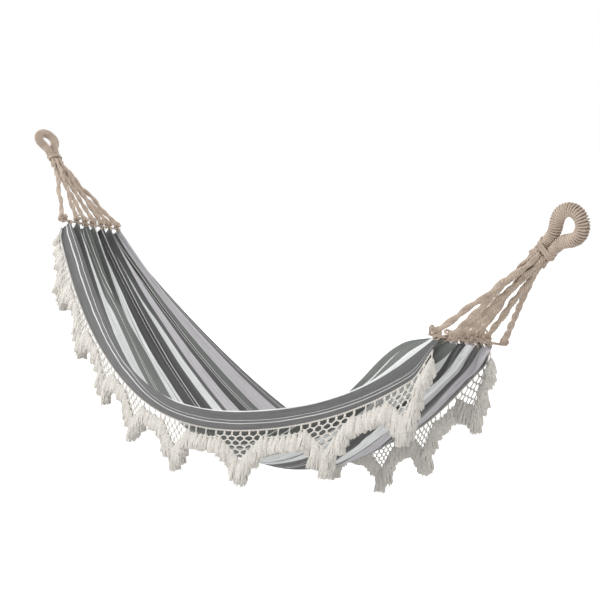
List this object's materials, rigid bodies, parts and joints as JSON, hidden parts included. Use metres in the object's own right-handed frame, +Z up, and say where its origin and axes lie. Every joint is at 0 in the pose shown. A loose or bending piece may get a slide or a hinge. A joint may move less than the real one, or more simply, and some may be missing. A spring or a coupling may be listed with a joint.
{
  "type": "fringed fabric hammock",
  "caption": "Striped cloth hammock with a knotted net fringe along both long edges, hung by rope clews from a whipped rope eye at each end.",
  "frame": {"origin": "the point inside the head eye that sits on its hook", "axes": "+X from the head eye's hook point to the foot eye's, level; +Y towards the far long edge; +Z up"},
  "size_m": [2.7116, 0.7524, 1.277],
  "materials": {
    "woven_cotton": "matt plain weave in grey and pale stripes",
    "rope": "matt laid cotton rope, natural beige",
    "fringe_cotton": "matt knotted cotton yarn, off-white"
  },
  "bodies": {
    "head_eye": {"head_eye_core": "rope", "head_eye_whipping": "rope", "head_neck_binding": "rope"},
    "bed": {"bed_cloth": "woven_cotton", "head_draw_cord": "rope", "head_knot_1": "rope", "head_knot_2": "rope", "head_knot_3": "rope", "head_knot_4": "rope", "head_knot_5": "rope", "head_knot_6": "rope", "head_knot_7": "rope", "head_cord_1": "rope", "head_cord_2": "rope", "head_cord_3": "rope", "head_cord_4": "rope", "head_cord_5": "rope", "head_cord_6": "rope", "head_cord_7": "rope", "foot_draw_cord": "rope", "foot_knot_1": "rope", "foot_knot_2": "rope", "foot_knot_3": "rope", "foot_knot_4": "rope", "foot_knot_5": "rope", "foot_knot_6": "rope", "foot_knot_7": "rope", "foot_cord_1": "rope", "foot_cord_2": "rope", "foot_cord_3": "rope", "foot_cord_4": "rope", "foot_cord_5": "rope", "foot_cord_6": "rope", "foot_cord_7": "rope", "near_fringe_heading": "fringe_cotton", "near_fringe_1": "fringe_cotton", "near_fringe_2": "fringe_cotton", "near_fringe_3": "fringe_cotton", "near_fringe_4": "fringe_cotton", "near_fringe_5": "fringe_cotton", "near_fringe_6": "fringe_cotton", "near_fringe_7": "fringe_cotton", "near_fringe_8": "fringe_cotton", "far_fringe_heading": "fringe_cotton", "far_fringe_1": "fringe_cotton", "far_fringe_2": "fringe_cotton", "far_fringe_3": "fringe_cotton", "far_fringe_4": "fringe_cotton", "far_fringe_5": "fringe_cotton", "far_fringe_6": "fringe_cotton", "far_fringe_7": "fringe_cotton", "far_fringe_8": "fringe_cotton"},
    "foot_eye": {"foot_eye_core": "rope", "foot_eye_whipping": "rope", "foot_neck_binding": "rope"}
  },
  "joints": [
    {"name": "bed_swing", "type": "hinge", "parent": "head_eye", "child": "bed", "pos_m": [0.0816, 0, -0.0907], "axis": [1, 0, 0], "range_deg": [-35, 35]},
    {"name": "foot_eye_pivot", "type": "hinge", "parent": "bed", "child": "foot_eye", "pos_m": [2.5584, 0, -0.0907], "axis": [1, 0, 0], "range_deg": [-35, 35]}
  ],
  "couplings": [
    {"joint": "foot_eye_pivot", "follows": "bed_swing", "ratio": -1}
  ]
}
